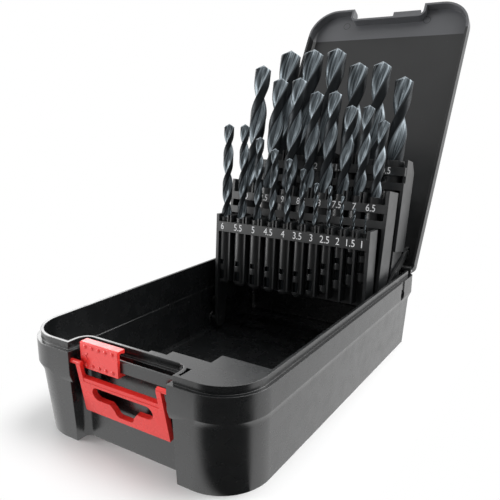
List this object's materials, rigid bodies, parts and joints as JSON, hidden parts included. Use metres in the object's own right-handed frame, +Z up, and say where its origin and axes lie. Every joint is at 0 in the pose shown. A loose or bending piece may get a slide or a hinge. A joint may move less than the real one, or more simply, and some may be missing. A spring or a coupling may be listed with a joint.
{
  "type": "drill bit case",
  "caption": "Hinged plastic case for twist drills: the opening lid swings up three drill racks; sliding latch and fold-out display hanger in front.",
  "frame": {"origin": "centre of the flat underside of the case's base", "axes": "+X to the right, +Y towards the hinged back, +Z up; the latch and the hanger face -Y, and the lid leans back behind +Y"},
  "size_m": [0.115, 0.2847, 0.2069],
  "materials": {
    "black_plastic": "satin",
    "rack_plastic": "satin",
    "red_plastic": "satin",
    "blued_steel": "satin",
    "pin_steel": "polished"
  },
  "bodies": {
    "base": {"base": "black_plastic", "hinge_pin_left": "pin_steel", "hinge_pin_right": "pin_steel"},
    "lid": {"lid": "black_plastic"},
    "rack_front": {"rack_front": "rack_plastic", "drill_6_mm": "blued_steel", "drill_5_5_mm": "blued_steel", "drill_5_mm": "blued_steel", "drill_4_5_mm": "blued_steel", "drill_4_mm": "blued_steel", "drill_3_5_mm": "blued_steel", "drill_3_mm": "blued_steel", "drill_2_5_mm": "blued_steel", "drill_2_mm": "blued_steel", "drill_1_5_mm": "blued_steel", "drill_1_mm": "blued_steel"},
    "rack_middle": {"rack_middle": "rack_plastic", "drill_10_mm": "blued_steel", "drill_9_5_mm": "blued_steel", "drill_9_mm": "blued_steel", "drill_8_5_mm": "blued_steel", "drill_8_mm": "blued_steel", "drill_7_5_mm": "blued_steel", "drill_7_mm": "blued_steel", "drill_6_5_mm": "blued_steel"},
    "rack_back": {"rack_back": "rack_plastic", "drill_13_mm": "blued_steel", "drill_12_5_mm": "blued_steel", "drill_12_mm": "blued_steel", "drill_11_5_mm": "blued_steel", "drill_11_mm": "blued_steel", "drill_10_5_mm": "blued_steel"},
    "link_bars": {"link_bar_left": "black_plastic", "link_bar_right": "black_plastic"},
    "slide_latch": {"slide_latch": "red_plastic"},
    "hanger": {"hanger": "red_plastic"}
  },
  "joints": [
    {"name": "lid_hinge", "type": "hinge", "parent": "base", "child": "lid", "pos_m": [0, 0.093, 0.044], "axis": [1, 0, 0], "range_deg": [0, 120]},
    {"name": "rack_front_hinge", "type": "hinge", "parent": "base", "child": "rack_front", "pos_m": [0, 0.0426, 0.0082], "axis": [1, 0, 0], "range_deg": [0, 93.6]},
    {"name": "rack_middle_hinge", "type": "hinge", "parent": "base", "child": "rack_middle", "pos_m": [0, 0.056, 0.022], "axis": [1, 0, 0], "range_deg": [0, 101.1]},
    {"name": "rack_back_hinge", "type": "hinge", "parent": "base", "child": "rack_back", "pos_m": [0, 0.0738, 0.034], "axis": [1, 0, 0], "range_deg": [0, 101.6]},
    {"name": "link_hinge", "type": "hinge", "parent": "rack_back", "child": "link_bars", "pos_m": [0, 0.07619, 0.04576], "axis": [1, 0, 0], "range_deg": [-101.6, 0]},
    {"name": "latch_slide", "type": "slide", "parent": "base", "child": "slide_latch", "axis": [1, 0, 0], "range_m": [0, 0.0256]},
    {"name": "hanger_hinge", "type": "hinge", "parent": "base", "child": "hanger", "pos_m": [0, -0.0922, 0.0376], "axis": [-1, 0, 0], "range_deg": [0, 180]}
  ],
  "couplings": [
    {"joint": "rack_front_hinge", "follows": "lid_hinge", "ratio": 0.77917},
    {"joint": "rack_middle_hinge", "follows": "lid_hinge", "ratio": 0.84167},
    {"joint": "rack_back_hinge", "follows": "lid_hinge", "ratio": 0.84583},
    {"joint": "link_hinge", "follows": "lid_hinge", "ratio": -0.84583}
  ]
}
